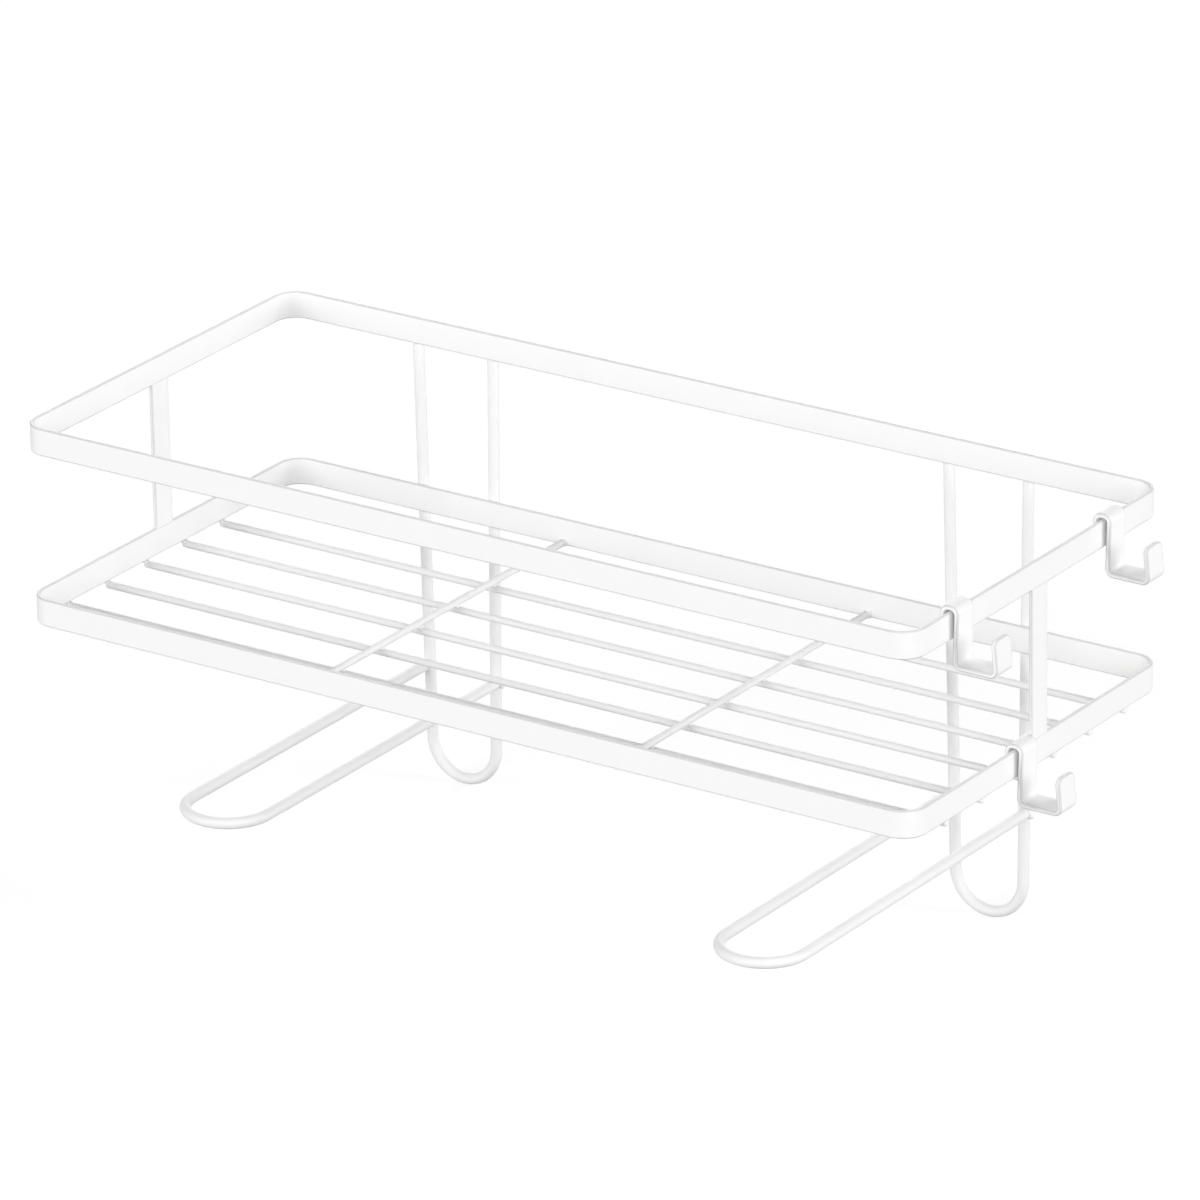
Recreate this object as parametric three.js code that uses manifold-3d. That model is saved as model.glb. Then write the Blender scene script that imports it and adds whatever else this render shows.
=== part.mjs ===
// Over-the-toilet rack: a welded basket of flat strip and round wire that sits on the tank lid.
// Millimetres, +Z up. The origin is on the lid, under the middle of the basket. The front faces -Y.
import * as THREE from 'three';
import { mergeVertices } from 'three/addons/utils/BufferGeometryUtils.js';
import Module from 'manifold-3d';

// Basket rings
const FRAME_LENGTH = 400;
const FRAME_DEPTH = 175;
const CORNER_RADIUS = 10;
const STRIP_HEIGHT = 11;
const STRIP_THICKNESS = 1.5;
const RING_GAP = 59;
const LID_CLEARANCE = 68.5;
const UPRIGHT_WIDTH = 11;

// Shelf wires
const SHELF_WIRE_DIAMETER = 2.8;
const SHELF_WIRE_COUNT = 6;
const SHELF_WIRE_INSET = 1;
const CROSS_WIRE_DIAMETER = 2.8;
const CROSS_WIRE_SPACING = 140;

// Hairpins behind the tank and foot loops on its lid
const LEG_WIRE_DIAMETER = 4.5;
const HAIRPIN_INSET = 78;
const HAIRPIN_TOP_WIDTH = 35.5;
const HAIRPIN_BEND_RADIUS = 15.25;
const HAIRPIN_DROP = 45;
const HAIRPIN_TOP_MARGIN = 3;
const FOOT_WIRE_DIAMETER = 4.5;
const FOOT_SETBACK = 2;
const FOOT_SPREAD = 1.5;

// Loose hooks on the right-hand end
const HOOK_WIDTH = 11;
const HOOK_THICKNESS = 2;
const HOOK_THROAT = 4;
const HOOK_SEAT_CLEARANCE = 0.3;
const HOOK_SIDE_CLEARANCE = 0.4;
const HOOK_BRIDGE_RADIUS = 1.4;
const HOOK_BEND_RADIUS = 1.3;
const HOOK_TONGUE = 9;
const HOOK_DROP = 11.5;
const HOOK_REACH = 19.5;
const HOOK_LIP_HEIGHT = 15;
const HOOK_LIP_TILT = THREE.MathUtils.degToRad(5);
const HOOK_CORNER_RADIUS = 3;
const REAR_HOOK_MARGIN = 37.5;
const FRONT_HOOK_MARGIN = 32;
const LOWER_HOOK_GAP = 0.5;

// Facets
const WIRE_SIDES = 16;
const THIN_WIRE_SIDES = 12;
const BEND_STEPS = 24;
const CORNER_SEGMENTS = 5;
const HOOK_SEGMENTS = 3;

// Heights worked out from the driving sizes
const LOWER_BOTTOM = LID_CLEARANCE;
const LOWER_TOP = LOWER_BOTTOM + STRIP_HEIGHT;
const UPPER_BOTTOM = LOWER_TOP + RING_GAP;
const UPPER_TOP = UPPER_BOTTOM + STRIP_HEIGHT;
const END_FACE = FRAME_LENGTH / 2;
const REAR_FACE = FRAME_DEPTH / 2;
const FRONT_FACE = -REAR_FACE;

const whiteCoat = { color: 0xf4f4f2, roughness: 0.42, metalness: 0 };
const wasm = await Module();
wasm.setup();
const rack = new THREE.Group();

function addPiece(name, geometry) {
  const piece = new THREE.Mesh(geometry, new THREE.MeshStandardMaterial(whiteCoat));
  piece.name = name;
  rack.add(piece);
  return piece;
}

// Booleans work on closed meshes with shared vertices.
function toSolid(geometry) {
  const bare = geometry.clone();
  bare.deleteAttribute('normal');
  bare.deleteAttribute('uv');
  const merged = mergeVertices(bare, 1e-5);
  return new wasm.Manifold(new wasm.Mesh({
    numProp: 3,
    vertProperties: new Float32Array(merged.attributes.position.array),
    triVerts: new Uint32Array(merged.index.array),
  }));
}

function toGeometry(solid) {
  const mesh = solid.getMesh();
  const geometry = new THREE.BufferGeometry();
  geometry.setAttribute('position', new THREE.BufferAttribute(mesh.vertProperties, mesh.numProp));
  geometry.setIndex(new THREE.BufferAttribute(mesh.triVerts, 1));
  geometry.computeVertexNormals();
  return geometry;
}

// Flat strip bent into a closed rounded rectangle, standing on its edge
function tracedRectangle(path, length, depth, radius) {
  const x = length / 2 - radius;
  const y = depth / 2 - radius;
  path.moveTo(x, -y - radius);
  path.absarc(x, -y, radius, -Math.PI / 2, 0, false);
  path.absarc(x, y, radius, 0, Math.PI / 2, false);
  path.absarc(-x, y, radius, Math.PI / 2, Math.PI, false);
  path.absarc(-x, -y, radius, Math.PI, 1.5 * Math.PI, false);
  path.closePath();
  return path;
}

function stripRing() {
  const inset = 2 * STRIP_THICKNESS;
  const innerRadius = CORNER_RADIUS - STRIP_THICKNESS;
  const outline = tracedRectangle(new THREE.Shape(), FRAME_LENGTH, FRAME_DEPTH, CORNER_RADIUS);
  outline.holes.push(tracedRectangle(new THREE.Path(), FRAME_LENGTH - inset, FRAME_DEPTH - inset, innerRadius));
  return new THREE.ExtrudeGeometry(outline, {
    depth: STRIP_HEIGHT,
    bevelEnabled: false,
    curveSegments: CORNER_SEGMENTS,
  });
}

// A wire's section has a flat on each axis, at the wire's radius, where it seats on its neighbours.
function wireSection(diameter, sides) {
  const corner = diameter / 2 / Math.cos(Math.PI / sides);
  const points = Array.from({ length: sides }, (_, k) => {
    const angle = (2 * k + 1) * Math.PI / sides;
    return new THREE.Vector2(corner * Math.cos(angle), corner * Math.sin(angle));
  });
  return new THREE.Shape(points);
}

function straightWire(diameter, length) {
  const wire = new THREE.ExtrudeGeometry(wireSection(diameter, THIN_WIRE_SIDES), {
    depth: length,
    bevelEnabled: false,
  });
  return wire.translate(0, 0, -length / 2);
}

// Centre line of a wire bent into a U: two legs that run tangent into one arc.
// It lies in the plane of axes u and v, with the arc centre at the origin and the open end towards +v.
class HairpinLine extends THREE.Curve {
  constructor({ radius, topHalfWidth, topHeight }, u, v) {
    super();
    const reach = Math.hypot(topHalfWidth, topHeight);
    this.lean = Math.acos(radius / reach) - Math.atan2(topHeight, topHalfWidth);
    this.radius = radius;
    this.top = [topHalfWidth, topHeight];
    this.u = u;
    this.v = v;
    this.steps = BEND_STEPS + 2;
  }

  place(alongU, alongV, target) {
    return target.copy(this.u).multiplyScalar(alongU).addScaledVector(this.v, alongV);
  }

  // Stations: the first leg's end, the points of the arc, the second leg's end
  getPointAt(share, target = new THREE.Vector3()) {
    const station = Math.round(share * this.steps);
    const [halfWidth, height] = this.top;
    if (station === 0) return this.place(-halfWidth, height, target);
    if (station === this.steps) return this.place(halfWidth, height, target);
    const angle = this.arcAngle(station);
    return this.place(this.radius * Math.cos(angle), this.radius * Math.sin(angle), target);
  }

  getTangentAt(share, target = new THREE.Vector3()) {
    const station = THREE.MathUtils.clamp(Math.round(share * this.steps), 1, this.steps - 1);
    const angle = this.arcAngle(station);
    return this.place(-Math.sin(angle), Math.cos(angle), target);
  }

  arcAngle(station) {
    const share = (station - 1) / BEND_STEPS;
    return Math.PI + this.lean + share * (Math.PI - 2 * this.lean);
  }

  // Half the distance between the legs at a height over the arc's centre
  halfWidthAt(height) {
    return this.radius / Math.cos(this.lean) + height * Math.tan(this.lean);
  }
}

function bentWire(line, diameter) {
  return new THREE.ExtrudeGeometry(wireSection(diameter, WIRE_SIDES), {
    steps: line.steps,
    extrudePath: line,
    bevelEnabled: false,
  });
}

// Outline of a strip of even thickness, from its centre line's corners and bend radii
function bentStripOutline(corners, bendRadii, thickness) {
  const half = thickness / 2;
  const directions = corners.slice(1).map((corner, k) => corner.clone().sub(corners[k]).normalize());
  const leftOf = (direction) => new THREE.Vector2(-direction.y, direction.x);
  const bends = bendRadii.map((radius, k) => {
    const before = directions[k];
    const after = directions[k + 1];
    const turn = Math.atan2(before.cross(after), before.dot(after));
    const side = Math.sign(turn);
    const tangentPoint = corners[k + 1].clone().addScaledVector(before, -radius * Math.tan(Math.abs(turn) / 2));
    const centre = tangentPoint.addScaledVector(leftOf(before), side * radius);
    const startAngle = before.angle() - side * Math.PI / 2;
    return { centre, side, radius, startAngle, endAngle: startAngle + turn };
  });
  const first = corners[0];
  const last = corners[corners.length - 1];
  const firstLeft = leftOf(directions[0]).multiplyScalar(half);
  const lastLeft = leftOf(directions[directions.length - 1]).multiplyScalar(half);
  const outline = new THREE.Shape();
  outline.moveTo(first.x + firstLeft.x, first.y + firstLeft.y);
  for (const { centre, side, radius, startAngle, endAngle } of bends) {
    outline.absarc(centre.x, centre.y, radius - side * half, startAngle, endAngle, side < 0);
  }
  outline.lineTo(last.x + lastLeft.x, last.y + lastLeft.y);
  outline.lineTo(last.x - lastLeft.x, last.y - lastLeft.y);
  for (const { centre, side, radius, startAngle, endAngle } of bends.reverse()) {
    outline.absarc(centre.x, centre.y, radius + side * half, endAngle, startAngle, side > 0);
  }
  outline.lineTo(first.x - firstLeft.x, first.y - firstLeft.y);
  outline.closePath();
  return outline;
}

// What a rounded strip end loses at one corner: a square corner less a quarter round.
// The corner is at the origin of the section, and the strip lies towards -x and -y.
function cornerOffcut(radius, spare, length) {
  const section = new THREE.Shape();
  section.moveTo(-radius, 0);
  section.absarc(-radius, -radius, radius, Math.PI / 2, 0, true);
  section.lineTo(spare, -radius);
  section.lineTo(spare, spare);
  section.lineTo(-radius, spare);
  section.closePath();
  return new THREE.ExtrudeGeometry(section, {
    depth: length,
    bevelEnabled: false,
    curveSegments: HOOK_SEGMENTS,
  });
}

// Hook profile in X and Z: x is out from the end band's outer face, z is up from the band's top edge.
function hookGeometry() {
  const half = HOOK_THICKNESS / 2;
  const bandMiddle = -STRIP_THICKNESS / 2;
  const bridgeZ = HOOK_SEAT_CLEARANCE + half;
  const tongueX = bandMiddle - HOOK_THROAT / 2 - half;
  const shankTopX = bandMiddle + HOOK_THROAT / 2 + half;
  const shankBottomX = HOOK_SIDE_CLEARANCE + half;
  const bottomZ = -STRIP_HEIGHT - HOOK_DROP + half;
  const lipX = HOOK_SIDE_CLEARANCE + HOOK_REACH - half;
  const lipRise = HOOK_LIP_HEIGHT - half;
  const lipTopX = lipX - lipRise * Math.tan(HOOK_LIP_TILT);
  const lipTopZ = bottomZ + lipRise;
  const centreLine = [
    new THREE.Vector2(tongueX, -HOOK_TONGUE),
    new THREE.Vector2(tongueX, bridgeZ),
    new THREE.Vector2(shankTopX, bridgeZ),
    new THREE.Vector2(shankBottomX, bottomZ),
    new THREE.Vector2(lipX, bottomZ),
    new THREE.Vector2(lipTopX, lipTopZ),
  ];
  const bridgeBend = HOOK_BRIDGE_RADIUS + half;
  const lipBend = HOOK_BEND_RADIUS + half;
  const outline = bentStripOutline(centreLine, [bridgeBend, bridgeBend, lipBend, lipBend], HOOK_THICKNESS);
  const strip = new THREE.ExtrudeGeometry(outline, {
    depth: HOOK_WIDTH,
    bevelEnabled: false,
    curveSegments: HOOK_SEGMENTS,
  });
  strip.rotateX(Math.PI / 2).translate(0, HOOK_WIDTH / 2, 0);
  let hook = toSolid(strip);

  // The lip's upper corners and the tongue's lower corners are rounded.
  const cutLength = 3 * HOOK_THICKNESS;
  const lipEdgeZ = lipTopZ + half * Math.sin(HOOK_LIP_TILT);
  const offcut = cornerOffcut(HOOK_CORNER_RADIUS, HOOK_THICKNESS, cutLength);
  offcut.rotateX(Math.PI / 2).rotateZ(Math.PI / 2).translate(-cutLength / 2, 0, 0);
  for (const side of [-1, 1]) {
    const lipCut = offcut.clone();
    const tongueCut = offcut.clone();
    if (side < 0) lipCut.rotateZ(Math.PI);
    lipCut.translate(lipTopX, side * HOOK_WIDTH / 2, lipEdgeZ);
    tongueCut.rotateX(Math.PI);
    if (side > 0) tongueCut.rotateZ(Math.PI);
    tongueCut.translate(tongueX, side * HOOK_WIDTH / 2, -HOOK_TONGUE);
    hook = hook.subtract(toSolid(lipCut)).subtract(toSolid(tongueCut));
  }
  return toGeometry(hook);
}

// Rings and uprights
addPiece('upper_rail', stripRing()).position.z = UPPER_BOTTOM;
addPiece('lower_frame', stripRing()).position.z = LOWER_BOTTOM;
for (const [name, side] of [['left_upright', -1], ['right_upright', 1]]) {
  const upright = addPiece(name, new THREE.BoxGeometry(STRIP_THICKNESS, UPRIGHT_WIDTH, RING_GAP));
  upright.position.set(side * (END_FACE - STRIP_THICKNESS / 2), 0, LOWER_TOP + RING_GAP / 2);
}

// Six wires along the shelf, under the end bands, in even steps from the front to the rear
const shelfWireLength = FRAME_LENGTH - 2 * SHELF_WIRE_INSET;
const shelfWirePitch = FRAME_DEPTH / (SHELF_WIRE_COUNT + 1);
for (let k = 0; k < SHELF_WIRE_COUNT; k += 1) {
  const wire = addPiece(`shelf_wire_${k + 1}`, straightWire(SHELF_WIRE_DIAMETER, shelfWireLength));
  wire.rotation.y = Math.PI / 2;
  wire.position.y = FRONT_FACE + (k + 1) * shelfWirePitch;
  wire.position.z = LOWER_BOTTOM - SHELF_WIRE_DIAMETER / 2;
}

// Two wires across the shelf, on the six and between the long bands
const crossWireLength = FRAME_DEPTH - 2 * STRIP_THICKNESS;
for (const [name, side] of [['left_cross_wire', -1], ['right_cross_wire', 1]]) {
  const wire = addPiece(name, straightWire(CROSS_WIRE_DIAMETER, crossWireLength));
  wire.rotation.x = Math.PI / 2;
  wire.position.x = side * CROSS_WIRE_SPACING / 2;
  wire.position.z = LOWER_BOTTOM + CROSS_WIRE_DIAMETER / 2;
}

// Hairpins on the rear faces of both rings, with their bends below the lid
const acrossX = new THREE.Vector3(1, 0, 0);
const upZ = new THREE.Vector3(0, 0, 1);
const backY = new THREE.Vector3(0, 1, 0);
const bendCentreZ = -HAIRPIN_DROP + LEG_WIRE_DIAMETER / 2 + HAIRPIN_BEND_RADIUS;
const hairpinLine = new HairpinLine({
  radius: HAIRPIN_BEND_RADIUS,
  topHalfWidth: HAIRPIN_TOP_WIDTH / 2,
  topHeight: UPPER_TOP - HAIRPIN_TOP_MARGIN - bendCentreZ,
}, acrossX, upZ);

// Foot loops on the lid, butted against the front of the hairpin legs and a little wider than them
const footCentreZ = FOOT_WIRE_DIAMETER / 2;
const footHalfWidth = hairpinLine.halfWidthAt(footCentreZ - bendCentreZ) + FOOT_SPREAD;
const footBendY = FRONT_FACE + FOOT_SETBACK + FOOT_WIRE_DIAMETER / 2 + footHalfWidth;
const footLine = new HairpinLine({
  radius: footHalfWidth,
  topHalfWidth: footHalfWidth,
  topHeight: REAR_FACE - footBendY,
}, acrossX, backY);

for (const [hand, side] of [['left', -1], ['right', 1]]) {
  const x = side * (END_FACE - HAIRPIN_INSET);
  const hairpin = addPiece(`${hand}_hairpin`, bentWire(hairpinLine, LEG_WIRE_DIAMETER));
  hairpin.position.set(x, REAR_FACE + LEG_WIRE_DIAMETER / 2, bendCentreZ);
  const foot = addPiece(`${hand}_foot_loop`, bentWire(footLine, FOOT_WIRE_DIAMETER));
  foot.position.set(x, footBendY, footCentreZ);
}

// Loose hooks: two on the upper rail, one on the lower frame just in front of the right upright
const rearHookY = REAR_FACE - REAR_HOOK_MARGIN;
const frontHookY = FRONT_FACE + FRONT_HOOK_MARGIN;
const lowerHookY = -UPRIGHT_WIDTH / 2 - LOWER_HOOK_GAP - HOOK_WIDTH / 2;
addPiece('rear_hook', hookGeometry()).position.set(END_FACE, rearHookY, UPPER_TOP);
addPiece('front_hook', hookGeometry()).position.set(END_FACE, frontHookY, UPPER_TOP);
addPiece('lower_hook', hookGeometry()).position.set(END_FACE, lowerHookY, LOWER_TOP);

export default rack;
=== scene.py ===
import math
import bmesh
import bpy
from mathutils import Matrix, Vector


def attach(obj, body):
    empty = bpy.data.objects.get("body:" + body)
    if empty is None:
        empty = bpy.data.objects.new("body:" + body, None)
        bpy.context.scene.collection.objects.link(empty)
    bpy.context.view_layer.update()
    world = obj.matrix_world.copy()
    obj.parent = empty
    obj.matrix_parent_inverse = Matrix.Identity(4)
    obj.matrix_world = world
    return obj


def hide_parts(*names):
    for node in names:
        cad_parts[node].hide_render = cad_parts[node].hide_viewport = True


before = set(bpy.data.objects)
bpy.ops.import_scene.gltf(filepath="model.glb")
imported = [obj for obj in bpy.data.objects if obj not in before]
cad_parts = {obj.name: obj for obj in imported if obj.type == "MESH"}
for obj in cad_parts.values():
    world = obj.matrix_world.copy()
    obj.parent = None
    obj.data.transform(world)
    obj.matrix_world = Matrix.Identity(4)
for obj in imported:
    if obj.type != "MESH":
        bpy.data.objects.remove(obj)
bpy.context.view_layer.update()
print("frame loaded:", len(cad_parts), "nodes")


# values that all pieces share
shared = {
    "mergeDistance": 1e-6,
    "endTolerance": 1e-4,
    "smoothAngle": math.radians(35),
    "edgeAngle": math.radians(40),
    "edgeSteps": 3,
    "paintedShadeSlot": 1,
}


# helpers for the modelling steps
def deselectAll():
    bpy.ops.object.select_all(action="DESELECT")


def applyPlace():
    bpy.ops.object.transform_apply(location=True, rotation=True, scale=True)


def nameIt(name):
    piece = bpy.context.object
    piece.name = name
    piece.data.name = name
    return piece


def startEditing():
    applyPlace()
    bpy.ops.object.mode_set(mode="EDIT")
    bpy.ops.mesh.select_all(action="SELECT")


def selectWhere(kind, test):
    # kind is EDGE or FACE
    bpy.ops.mesh.select_mode(type=kind)
    bpy.ops.mesh.select_all(action="DESELECT")
    data = bpy.context.edit_object.data
    mesh = bmesh.from_edit_mesh(data)
    elements = mesh.edges if kind == "EDGE" else mesh.faces
    for element in elements:
        element.select_set(test(element))
    bmesh.update_edit_mesh(data)


def pull(step):
    bpy.ops.mesh.extrude_region_move(TRANSFORM_OT_translate={"value": step})


def swingFace(steps, angle, centre, axis):
    # the spin operator turns against the right-hand rule
    bpy.ops.mesh.spin(steps=steps, angle=-angle, center=centre, axis=axis)


def cleanMesh():
    bpy.ops.mesh.select_all(action="SELECT")
    bpy.ops.mesh.remove_doubles(threshold=shared["mergeDistance"])
    bpy.ops.mesh.normals_make_consistent(inside=False)


def finishEditing():
    cleanMesh()
    bpy.ops.object.mode_set(mode="OBJECT")


def applyModifier(modifier):
    bpy.ops.object.modifier_apply(modifier=modifier.name)


def smoothByAngle():
    bpy.ops.object.shade_smooth_by_angle(angle=shared["smoothAngle"])


def coatStrip(piece):
    # the second slot is for the rounded edges: a grey coat painted on as shade
    piece.data.materials.append(whiteCoat)
    piece.data.materials.append(paintedEdgeShadeMaterial)


def softenEdges(piece, width):
    bpy.ops.object.shade_smooth()
    coatStrip(piece)
    bevel = piece.modifiers.new("softEdge", "BEVEL")
    # the bevel's faces take the grey edge coat, painted shade along every edge
    bevel.material = shared["paintedShadeSlot"]
    bevel.width = width
    bevel.segments = shared["edgeSteps"]
    bevel.limit_method = "ANGLE"
    bevel.angle_limit = shared["edgeAngle"]
    bevel.harden_normals = True
    applyModifier(bevel)
    smoothByAngle()


def copyOf(piece, name, step):
    deselectAll()
    piece.select_set(True)
    bpy.context.view_layer.objects.active = piece
    bpy.ops.object.duplicate(linked=False)
    twin = nameIt(name)
    twin.location = step
    applyPlace()
    return twin


def dress(piece, body, *nodes):
    if not piece.data.materials:
        piece.data.materials.append(whiteCoat)
    if nodes:
        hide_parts(*nodes)
    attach(piece, body)


# powder coat: satin white with a fine orange peel; the greyer copies of it on the legs and the strips'
# edges are painted shade
coatLook = {
    "colour": (0.905, 0.905, 0.9, 1),
    "thinColour": (0.885, 0.886, 0.884, 1),
    # the wire and edge colours below are darker copies of the white, painted shade
    "paintedShadeWireColour": (0.87, 0.871, 0.868, 1),
    "paintedShadeWireDriftColour": (0.84, 0.841, 0.839, 1),
    "paintedEdgeShadeColour": (0.73, 0.73, 0.728, 1),
    "paintedEdgeShadeDriftColour": (0.66, 0.66, 0.659, 1),
    "patchScale": 55,
    "patchDetail": 3,
    "roughness": (0.55, 0.65),
    "peelScale": 750,
    "peelDetail": 2,
    "peelHeight": 0.00004,
    "peelStrength": 0.35,
}


def makeCoat(name, colour, thinColour):
    material = bpy.data.materials.new(name)
    material.use_nodes = True
    nodes = material.node_tree.nodes
    links = material.node_tree.links
    shader = nodes["Principled BSDF"]
    coords = nodes.new("ShaderNodeTexCoord")
    # film thickness drifts slowly over the metal
    patches = nodes.new("ShaderNodeTexNoise")
    patches.inputs["Scale"].default_value = coatLook["patchScale"]
    patches.inputs["Detail"].default_value = coatLook["patchDetail"]
    tint = nodes.new("ShaderNodeMix")
    tint.data_type = "RGBA"
    tint.inputs["A"].default_value = thinColour
    tint.inputs["B"].default_value = colour
    gloss = nodes.new("ShaderNodeMapRange")
    gloss.inputs["To Min"].default_value = coatLook["roughness"][0]
    gloss.inputs["To Max"].default_value = coatLook["roughness"][1]
    # fine dimples of the cured powder
    peel = nodes.new("ShaderNodeTexNoise")
    peel.inputs["Scale"].default_value = coatLook["peelScale"]
    peel.inputs["Detail"].default_value = coatLook["peelDetail"]
    bump = nodes.new("ShaderNodeBump")
    bump.inputs["Strength"].default_value = coatLook["peelStrength"]
    bump.inputs["Distance"].default_value = coatLook["peelHeight"]
    links.new(coords.outputs["Object"], patches.inputs["Vector"])
    links.new(coords.outputs["Object"], peel.inputs["Vector"])
    links.new(patches.outputs["Fac"], tint.inputs["Factor"])
    links.new(patches.outputs["Fac"], gloss.inputs["Value"])
    links.new(tint.outputs["Result"], shader.inputs["Base Color"])
    links.new(gloss.outputs["Result"], shader.inputs["Roughness"])
    links.new(peel.outputs["Fac"], bump.inputs["Height"])
    links.new(bump.outputs["Normal"], shader.inputs["Normal"])
    return material


whiteCoat = makeCoat("whitePowderCoat", coatLook["colour"], coatLook["thinColour"])
# a greyer copy of the coat for the legs, painted shade on the round wires
paintedShadeWireMaterial = makeCoat("paintedShadeWireCoat", coatLook["paintedShadeWireColour"], coatLook["paintedShadeWireDriftColour"])
# a much greyer copy of the coat for the rounded edges, painted shade along them
paintedEdgeShadeMaterial = makeCoat("paintedEdgeShadeCoat", coatLook["paintedEdgeShadeColour"], coatLook["paintedEdgeShadeDriftColour"])
print("powder coat ready")


# strip rings: the guard rail and the shelf's rim
ring = {
    "length": 0.400,
    "depth": 0.175,
    "height": 0.011,
    "thickness": 0.0015,
    "corner": 0.010,
    "cornerSteps": 16,
    "upperBottom": 0.1385,
    "lowerBottom": 0.0685,
    "softEdge": 0.0006,
}


def bendRing():
    deselectAll()
    bpy.ops.mesh.primitive_plane_add(size=1, location=(0, 0, ring["upperBottom"]))
    piece = nameIt("upperRail")
    piece.scale = (ring["length"], ring["depth"], 1)
    startEditing()
    bpy.ops.mesh.bevel(offset=ring["corner"], segments=ring["cornerSteps"], affect="VERTICES")
    bpy.ops.mesh.delete(type="ONLY_FACE")
    bpy.ops.mesh.select_all(action="SELECT")
    bpy.ops.mesh.extrude_edges_move(TRANSFORM_OT_translate={"value": (0, 0, ring["height"])})
    finishEditing()
    wall = piece.modifiers.new("stripWall", "SOLIDIFY")
    wall.thickness = ring["thickness"]
    wall.offset = -1
    wall.use_even_offset = True
    applyModifier(wall)
    softenEdges(piece, ring["softEdge"])
    return piece


upperRail = bendRing()
lowerFrame = copyOf(upperRail, "lowerFrame", (0, 0, ring["lowerBottom"] - ring["upperBottom"]))
dress(upperRail, "rack_frame", "upper_rail")
dress(lowerFrame, "rack_frame", "lower_frame")
print("rings bent")


# uprights between the rings, flared a little at both ends by the weld
upright = {
    "width": 0.011,
    "weld": 0.0003,
    "weldSteps": 3,
    "sunk": 0.0003,
    "softEdge": 0.0006,
    "endFacing": 0.9,
}


def weldFlare(side):
    # a quarter-round flare where the strip meets the ring
    width = upright["width"]
    rise = 0
    for k in range(1, upright["weldSteps"] + 1):
        angle = math.pi / 2 * k / upright["weldSteps"]
        nextWidth = upright["width"] + 2 * upright["weld"] * (1 - math.cos(angle))
        nextRise = upright["weld"] * math.sin(angle)
        pull((0, 0, side * (nextRise - rise)))
        bpy.ops.transform.resize(value=(1, nextWidth / width, 1))
        width = nextWidth
        rise = nextRise
    pull((0, 0, side * upright["sunk"]))


def makeUpright():
    low = ring["lowerBottom"] + ring["height"]
    high = ring["upperBottom"]
    middle = (low + high) / 2
    shaft = high - low - 2 * upright["weld"]
    x = ring["length"] / 2 - ring["thickness"] / 2
    deselectAll()
    bpy.ops.mesh.primitive_cube_add(size=1, location=(x, 0, middle))
    piece = nameIt("rightUpright")
    piece.scale = (ring["thickness"], upright["width"], shaft)
    coatStrip(piece)
    startEditing()
    selectWhere("EDGE", lambda edge: abs(edge.verts[0].co.z - edge.verts[1].co.z) > shaft / 2)
    # the rounded edges take the grey edge coat, painted shade
    bpy.ops.mesh.bevel(
        offset=upright["softEdge"],
        segments=shared["edgeSteps"],
        affect="EDGES",
        material=shared["paintedShadeSlot"],
    )

    def isEndFace(face, side):
        outward = side * face.normal.z > upright["endFacing"]
        return outward and side * (face.calc_center_median().z - middle) > 0

    selectWhere("FACE", lambda face: isEndFace(face, 1))
    weldFlare(1)
    selectWhere("FACE", lambda face: isEndFace(face, -1))
    weldFlare(-1)
    finishEditing()
    smoothByAngle()
    flat = piece.modifiers.new("flatFaces", "WEIGHTED_NORMAL")
    flat.keep_sharp = True
    applyModifier(flat)
    return piece


rightUpright = makeUpright()
leftUpright = copyOf(rightUpright, "leftUpright", (ring["thickness"] - ring["length"], 0, 0))
dress(rightUpright, "rack_frame", "right_upright")
dress(leftUpright, "rack_frame", "left_upright")
print("uprights set")


# straight wires: a cut length with its end edges rounded
shelfWire = {"radius": 0.0014, "count": 6, "inset": 0.001, "sides": 24, "cutEdge": 0.0004}
crossWire = {"radius": 0.0014, "spacing": 0.140, "sides": 24, "cutEdge": 0.0003}


def wireDisc(name, wire, spot, facing):
    # a filled circle, to be pulled into a wire
    deselectAll()
    bpy.ops.mesh.primitive_circle_add(
        vertices=wire["sides"],
        radius=wire["radius"],
        fill_type="NGON",
        location=spot,
        rotation=facing,
    )
    piece = nameIt(name)
    startEditing()
    return piece


def finishWire(wire, isEnd):
    # round the edges of the two cut ends, then close the mesh
    selectWhere("EDGE", lambda edge: isEnd(edge.verts[0].co) and isEnd(edge.verts[1].co))
    bpy.ops.mesh.bevel(offset=wire["cutEdge"], segments=shared["edgeSteps"], affect="EDGES")
    finishEditing()
    smoothByAngle()


def straightWire(name, wire, start, along, facing):
    piece = wireDisc(name, wire, start, facing)
    pull(along)
    cleanMesh()
    first = Vector(start)
    last = first + Vector(along)
    line = Vector(along).normalized()

    def isEnd(spot):
        fromFirst = abs((spot - first).dot(line))
        fromLast = abs((spot - last).dot(line))
        return min(fromFirst, fromLast) < shared["endTolerance"]

    finishWire(wire, isEnd)
    return piece


shelfPitch = ring["depth"] / (shelfWire["count"] + 1)
shelfStart = ring["length"] / 2 - shelfWire["inset"]
shelfHeight = ring["lowerBottom"] - shelfWire["radius"]
firstShelfWire = straightWire(
    "shelfWire1",
    shelfWire,
    (-shelfStart, shelfPitch - ring["depth"] / 2, shelfHeight),
    (2 * shelfStart, 0, 0),
    (0, math.pi / 2, 0),
)
dress(firstShelfWire, "rack_frame", "shelf_wire_1")
for k in range(2, shelfWire["count"] + 1):
    twin = copyOf(firstShelfWire, f"shelfWire{k}", (0, (k - 1) * shelfPitch, 0))
    dress(twin, "rack_frame", f"shelf_wire_{k}")

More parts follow.
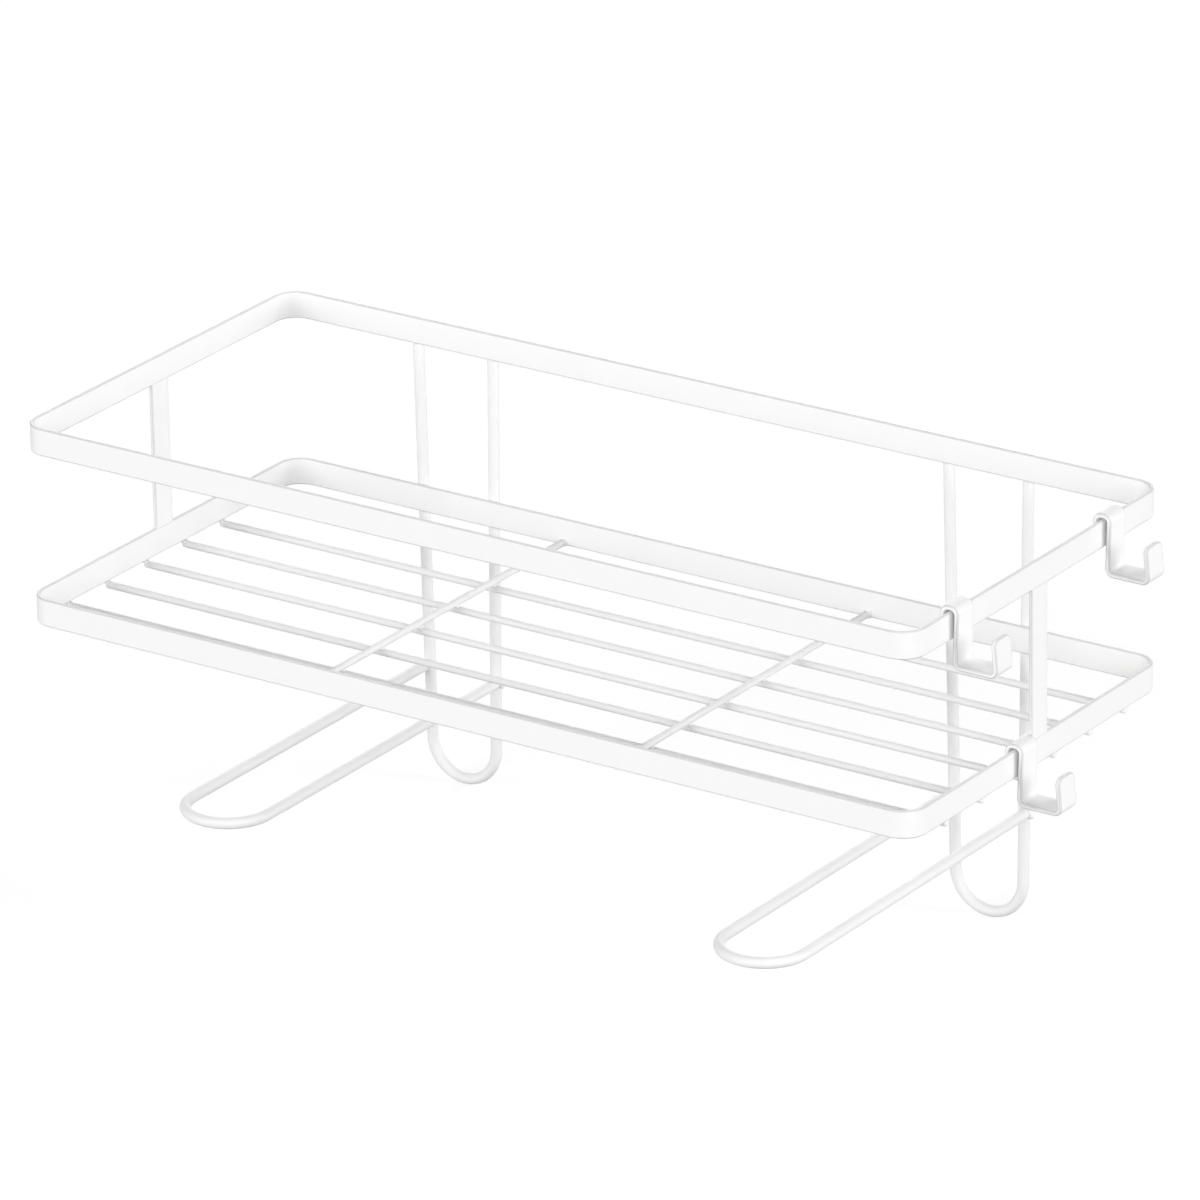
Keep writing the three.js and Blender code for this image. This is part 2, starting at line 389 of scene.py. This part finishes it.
crossStart = ring["depth"] / 2 - ring["thickness"]
crossHeight = ring["lowerBottom"] + crossWire["radius"]
leftCrossWire = straightWire(
    "leftCrossWire",
    crossWire,
    (-crossWire["spacing"] / 2, crossStart, crossHeight),
    (0, -2 * crossStart, 0),
    (math.pi / 2, 0, 0),
)
rightCrossWire = copyOf(leftCrossWire, "rightCrossWire", (crossWire["spacing"], 0, 0))
dress(leftCrossWire, "rack_frame", "left_cross_wire")
dress(rightCrossWire, "rack_frame", "right_cross_wire")
print("shelf wired")


# hairpins and foot loops: one wire, a leg, a bend and a leg
legWire = {"radius": 0.00225, "sides": 24, "bendSteps": 40, "cutEdge": 0.0006}
hairpin = {
    "spacing": 0.244,
    "bendRadius": 0.01525,
    "drop": 0.045,
    "topHalfWidth": 0.01775,
    "topHeight": 0.1465,
}
footLoop = {"halfWidth": 0.0171787, "front": -0.0855, "back": 0.0875}


def bentWire(name, topSpot, leg, centre, turnAxis, turnAngle):
    # topSpot is the first leg's cut end, leg runs from there to the bend
    facing = leg.to_track_quat("Z", "Y").to_euler()
    piece = wireDisc(name, legWire, topSpot, facing)
    pull(leg)
    swingFace(legWire["bendSteps"], turnAngle, centre, turnAxis)
    swing = Matrix.Rotation(turnAngle, 3, turnAxis)
    pull(swing @ leg)
    cleanMesh()
    endSpot = centre + swing @ (topSpot + leg - centre) + swing @ leg
    reach = legWire["radius"] + shared["endTolerance"]
    finishWire(legWire, lambda spot: min((spot - topSpot).length, (spot - endSpot).length) < reach)
    # the hairpins and foot loops take the greyer copy of the coat: painted shade
    piece.data.materials.append(paintedShadeWireMaterial)
    return piece


legX = hairpin["spacing"] / 2
hairpinY = ring["depth"] / 2 + legWire["radius"]
bendHeight = -hairpin["drop"] + legWire["radius"] + hairpin["bendRadius"]
legRise = hairpin["topHeight"] - bendHeight
legLean = math.acos(hairpin["bendRadius"] / math.hypot(hairpin["topHalfWidth"], legRise))
legLean -= math.atan2(legRise, hairpin["topHalfWidth"])


def makeHairpin():
    centre = Vector((-legX, hairpinY, bendHeight))
    topSpot = Vector((-legX - hairpin["topHalfWidth"], hairpinY, hairpin["topHeight"]))
    outward = Vector((-math.cos(legLean), 0, -math.sin(legLean)))
    leg = centre + outward * hairpin["bendRadius"] - topSpot
    return bentWire("leftHairpin", topSpot, leg, centre, Vector((0, -1, 0)), math.pi - 2 * legLean)


def makeFootLoop():
    bendY = footLoop["front"] + legWire["radius"] + footLoop["halfWidth"]
    centre = Vector((-legX, bendY, legWire["radius"]))
    topSpot = Vector((-legX - footLoop["halfWidth"], footLoop["back"], legWire["radius"]))
    leg = Vector((0, bendY - footLoop["back"], 0))
    return bentWire("leftFootLoop", topSpot, leg, centre, Vector((0, 0, 1)), math.pi)


leftHairpin = makeHairpin()
rightHairpin = copyOf(leftHairpin, "rightHairpin", (hairpin["spacing"], 0, 0))
leftFootLoop = makeFootLoop()
rightFootLoop = copyOf(leftFootLoop, "rightFootLoop", (hairpin["spacing"], 0, 0))
dress(leftHairpin, "rack_frame", "left_hairpin")
dress(rightHairpin, "rack_frame", "right_hairpin")
dress(leftFootLoop, "rack_frame", "left_foot_loop")
dress(rightFootLoop, "rack_frame", "right_foot_loop")
print("legs bent")


# small beads of metal squeezed out at the welds
bead = {"edge": 0.3, "edgeSteps": 1, "levels": 1}
legWeld = {"size": (0.0015, 0.0011, 0.008), "apart": 0.00155, "back": 0.00045, "topDrop": 0.0015}
footWeld = {"size": (0.0036, 0.0026, 0.0042), "out": 0.0019, "back": 0.0007}
wireWeld = {"size": (0.0016, 0.0012, 0.001), "apart": 0.0011, "inset": 0.0014, "drop": 0.0003}
crossingWeld = {"size": (0.0024, 0.0024, 0.001)}
bandWeld = {"size": (0.0034, 0.0014, 0.0034), "inset": 0.0016}


def makeBead(name, size, spot):
    deselectAll()
    bpy.ops.mesh.primitive_cube_add(size=1, location=spot)
    piece = nameIt(name)
    piece.scale = size
    startEditing()
    bpy.ops.mesh.bevel(offset=min(size) * bead["edge"], segments=bead["edgeSteps"], affect="EDGES")
    finishEditing()
    rounded = piece.modifiers.new("roundBead", "SUBSURF")
    rounded.levels = bead["levels"]
    rounded.render_levels = bead["levels"]
    applyModifier(rounded)
    bpy.ops.object.shade_smooth()
    return piece


def rowOfBeads(name, size, spots):
    first = makeBead(name, size, spots[0])
    beads = [first]
    for spot in spots[1:]:
        beads.append(copyOf(first, name, Vector(spot) - Vector(spots[0])))
    return beads


def joinBeads(beads, name):
    deselectAll()
    for piece in beads:
        piece.select_set(True)
    bpy.context.view_layer.objects.active = beads[0]
    bpy.ops.object.join()
    return nameIt(name)


def legHalfWidth(height):
    return hairpin["bendRadius"] / math.cos(legLean) + (height - bendHeight) * math.tan(legLean)


lowerWeldHeight = ring["lowerBottom"] + ring["height"] / 2
upperWeldHeight = ring["upperBottom"] + ring["height"] / 2 - legWeld["topDrop"]
legWeldY = ring["depth"] / 2 + legWeld["back"]
footWeldY = footLoop["back"] + footWeld["back"]
legSpots = []
footSpots = []
for side in (-1, 1):
    for hand in (-1, 1):
        for height in (lowerWeldHeight, upperWeldHeight):
            x = side * legX + hand * legHalfWidth(height)
            legSpots.append((x - legWeld["apart"], legWeldY, height))
            legSpots.append((x + legWeld["apart"], legWeldY, height))
        x = side * legX + hand * (footLoop["halfWidth"] + footWeld["out"])
        footSpots.append((x, footWeldY, legWire["radius"]))
legBeads = rowOfBeads("legBead", legWeld["size"], legSpots)
footBeads = rowOfBeads("footBead", footWeld["size"], footSpots)
legWelds = joinBeads(legBeads + footBeads, "legWelds")
dress(legWelds, "rack_frame")

endHeight = ring["lowerBottom"] - wireWeld["drop"]
crossX = crossWire["spacing"] / 2
endSpots = []
crossingSpots = []
bandSpots = []
for k in range(1, shelfWire["count"] + 1):
    y = k * shelfPitch - ring["depth"] / 2
    for side in (-1, 1):
        x = side * (ring["length"] / 2 - wireWeld["inset"])
        endSpots.append((x, y - wireWeld["apart"], endHeight))
        endSpots.append((x, y + wireWeld["apart"], endHeight))
        crossingSpots.append((side * crossX, y, ring["lowerBottom"]))
for side in (-1, 1):
    for hand in (-1, 1):
        y = hand * (ring["depth"] / 2 - bandWeld["inset"])
        bandSpots.append((side * crossX, y, crossHeight))
endBeads = rowOfBeads("endBead", wireWeld["size"], endSpots)
crossingBeads = rowOfBeads("crossingBead", crossingWeld["size"], crossingSpots)
bandBeads = rowOfBeads("bandBead", bandWeld["size"], bandSpots)
shelfWelds = joinBeads(endBeads + crossingBeads + bandBeads, "shelfWelds")
dress(shelfWelds, "rack_frame")
print("welds beaded")


# loose hooks: a strip bent over the rail, down and out into a lip
hook = {
    "width": 0.011,
    "thickness": 0.002,
    "tongueX": -0.00375,
    "tongueLow": -0.009,
    "bridgeZ": 0.0013,
    "shankTopX": 0.00225,
    "shankLowX": 0.0014,
    "shelfZ": -0.0215,
    "lipX": 0.0189,
    "lipTopZ": -0.0075,
    "lipTilt": 5,
    "bridgeRadius": 0.0024,
    "lipRadius": 0.0023,
    "bendSteps": 8,
    "corner": 0.003,
    "cornerSteps": 8,
    "softEdge": 0.0007,
}
railEnd = ring["length"] / 2
upperTop = ring["upperBottom"] + ring["height"]
lowerTop = ring["lowerBottom"] + ring["height"]
hookPlaces = {
    "rearHook": (railEnd, 0.050, upperTop),
    "frontHook": (railEnd, -0.0555, upperTop),
    "lowerHook": (railEnd, -0.0115, lowerTop),
}


def hookCorners():
    lipHeight = hook["lipTopZ"] - hook["shelfZ"]
    lipTopX = hook["lipX"] - lipHeight * math.tan(math.radians(hook["lipTilt"]))
    return [
        (hook["tongueX"], hook["tongueLow"]),
        (hook["tongueX"], hook["bridgeZ"]),
        (hook["shankTopX"], hook["bridgeZ"]),
        (hook["shankLowX"], hook["shelfZ"]),
        (hook["lipX"], hook["shelfZ"]),
        (lipTopX, hook["lipTopZ"]),
    ]


def makeHook():
    place = Vector(hookPlaces["rearHook"])
    corners = [place + Vector((x, 0, z)) for x, z in hookCorners()]
    radii = [hook["bridgeRadius"], hook["bridgeRadius"], hook["lipRadius"], hook["lipRadius"]]
    deselectAll()
    bpy.ops.mesh.primitive_plane_add(size=1, location=corners[0])
    piece = nameIt("rearHook")
    piece.scale = (hook["thickness"], hook["width"], 1)
    startEditing()
    at = corners[0]
    for k, radius in enumerate(radii):
        before = (corners[k + 1] - corners[k]).normalized()
        after = (corners[k + 2] - corners[k + 1]).normalized()
        turn = before.angle(after)
        axis = before.cross(after).normalized()
        setback = radius * math.tan(turn / 2)
        bendStart = corners[k + 1] - before * setback
        centre = bendStart + axis.cross(before) * radius
        pull(bendStart - at)
        swingFace(hook["bendSteps"], turn, centre, axis)
        at = corners[k + 1] + after * setback
    pull(corners[-1] - at)
    cleanMesh()

    def isEndCorner(edge):
        middle = (edge.verts[0].co + edge.verts[1].co) / 2
        fromTongue = (middle.xz - corners[0].xz).length
        fromLip = (middle.xz - corners[-1].xz).length
        atEnd = min(fromTongue, fromLip) < shared["endTolerance"]
        return atEnd and abs(edge.calc_length() - hook["thickness"]) < shared["endTolerance"]

    # round the tongue's and the lip's corners
    selectWhere("EDGE", isEndCorner)
    bpy.ops.mesh.bevel(offset=hook["corner"], segments=hook["cornerSteps"], affect="EDGES")
    finishEditing()
    softenEdges(piece, hook["softEdge"])
    return piece


rearHook = makeHook()
dress(rearHook, "rear_hook", "rear_hook")
for name, body in (("frontHook", "front_hook"), ("lowerHook", "lower_hook")):
    twin = copyOf(rearHook, name, Vector(hookPlaces[name]) - Vector(hookPlaces["rearHook"]))
    dress(twin, body, body)
print("hooks hung")


# camera at the photograph's place
cameraPlace = {
    "azimuth": 34.40,
    "elevation": 22.12,
    "roll": -0.98,
    "spot": (1.9967, -2.9083, 1.5241),
    "sensor": 36,
    "lens": 302.865,
    "farthest": 50,
}
turn = math.radians(cameraPlace["azimuth"])
rise = math.radians(cameraPlace["elevation"])
lean = math.radians(cameraPlace["roll"])
back = Vector((math.sin(turn) * math.cos(rise), -math.cos(turn) * math.cos(rise), math.sin(rise)))
level = Vector((math.cos(turn), math.sin(turn), 0))
right = level * math.cos(lean) + back.cross(level) * math.sin(lean)
upward = back.cross(right)
facing = Matrix((right, upward, back)).transposed().to_4x4()
bpy.ops.object.camera_add()
camera = bpy.context.object
camera.name = "photoCamera"
camera.matrix_world = Matrix.Translation(cameraPlace["spot"]) @ facing
camera.data.sensor_width = cameraPlace["sensor"]
camera.data.lens = cameraPlace["lens"]
camera.data.clip_end = cameraPlace["farthest"]
bpy.context.scene.camera = camera
print("camera set")


# white sweep: the floor glows a little for the camera and still takes the shadow
stageLook = {
    "floorHeight": -0.0452,
    "floorSize": 16,
    "floorGlow": 0.66,
    "floorColour": (0.45, 0.45, 0.45, 1),
    "worldColour": (1, 1, 1, 1),
    "worldStrength": 0.2,
    "worldSeenStrength": 1,
    "lampSpread": 40,
}


def seenRays(nodes, links):
    # 1 for rays that show in the picture, 0 for those that only light it
    path = nodes.new("ShaderNodeLightPath")
    first = nodes.new("ShaderNodeMath")
    first.operation = "MAXIMUM"
    second = nodes.new("ShaderNodeMath")
    second.operation = "MAXIMUM"
    links.new(path.outputs["Is Camera Ray"], first.inputs[0])
    links.new(path.outputs["Is Glossy Ray"], first.inputs[1])
    links.new(first.outputs["Value"], second.inputs[0])
    links.new(path.outputs["Is Transmission Ray"], second.inputs[1])
    return second.outputs["Value"]


def makeFloorPaint():
    # clear from below, so that a view from under the floor still shows the rack
    paint = bpy.data.materials.new("paleFloor")
    paint.use_nodes = True
    nodes = paint.node_tree.nodes
    links = paint.node_tree.links
    nodes.remove(nodes["Principled BSDF"])
    matt = nodes.new("ShaderNodeBsdfDiffuse")
    matt.inputs["Color"].default_value = stageLook["floorColour"]
    glow = nodes.new("ShaderNodeEmission")
    strength = nodes.new("ShaderNodeMath")
    strength.operation = "MULTIPLY"
    strength.inputs[1].default_value = stageLook["floorGlow"]
    both = nodes.new("ShaderNodeAddShader")
    clear = nodes.new("ShaderNodeBsdfTransparent")
    geometry = nodes.new("ShaderNodeNewGeometry")
    choose = nodes.new("ShaderNodeMixShader")
    links.new(seenRays(nodes, links), strength.inputs[0])
    links.new(strength.outputs["Value"], glow.inputs["Strength"])
    links.new(matt.outputs["BSDF"], both.inputs[0])
    links.new(glow.outputs["Emission"], both.inputs[1])
    links.new(geometry.outputs["Backfacing"], choose.inputs["Fac"])
    links.new(both.outputs["Shader"], choose.inputs[1])
    links.new(clear.outputs["BSDF"], choose.inputs[2])
    links.new(choose.outputs["Shader"], nodes["Material Output"].inputs["Surface"])
    return paint


deselectAll()
bpy.ops.mesh.primitive_plane_add(size=stageLook["floorSize"], location=(0, 0, stageLook["floorHeight"]))
floor = nameIt("studioFloor")
floor.data.materials.append(makeFloorPaint())

# the sky is white in the picture and dim as a light
world = bpy.data.worlds.new("studioWorld")
bpy.context.scene.world = world
world.use_nodes = True
worldNodes = world.node_tree.nodes
worldLinks = world.node_tree.links
background = worldNodes["Background"]
background.inputs["Color"].default_value = stageLook["worldColour"]
skyStrength = worldNodes.new("ShaderNodeMapRange")
skyStrength.inputs["To Min"].default_value = stageLook["worldStrength"]
skyStrength.inputs["To Max"].default_value = stageLook["worldSeenStrength"]
worldLinks.new(seenRays(worldNodes, worldLinks), skyStrength.inputs["Value"])
worldLinks.new(skyStrength.outputs["Result"], background.inputs["Strength"])

# four wide suns, low around the rack
lamps = [
    {"name": "keyLamp", "spot": (2.32, 0.84, 0.82), "strength": 1.83},
    {"name": "fillLamp", "spot": (-0.84, -2.32, 0.82), "strength": 1.74},
    {"name": "frontLamp", "spot": (1.65, -1.83, 0.82), "strength": 1.2},
    {"name": "backLamp", "spot": (-1.42, 2.11, 0.54), "strength": 1.7},
]
for lamp in lamps:
    bpy.ops.object.light_add(type="SUN", location=lamp["spot"])
    light = bpy.context.object
    light.name = lamp["name"]
    light.data.angle = math.radians(stageLook["lampSpread"])
    light.data.energy = lamp["strength"]
    light.rotation_euler = (-Vector(lamp["spot"])).to_track_quat("-Z", "Y").to_euler()
bpy.context.scene.view_settings.view_transform = "Standard"
print("stage lit")
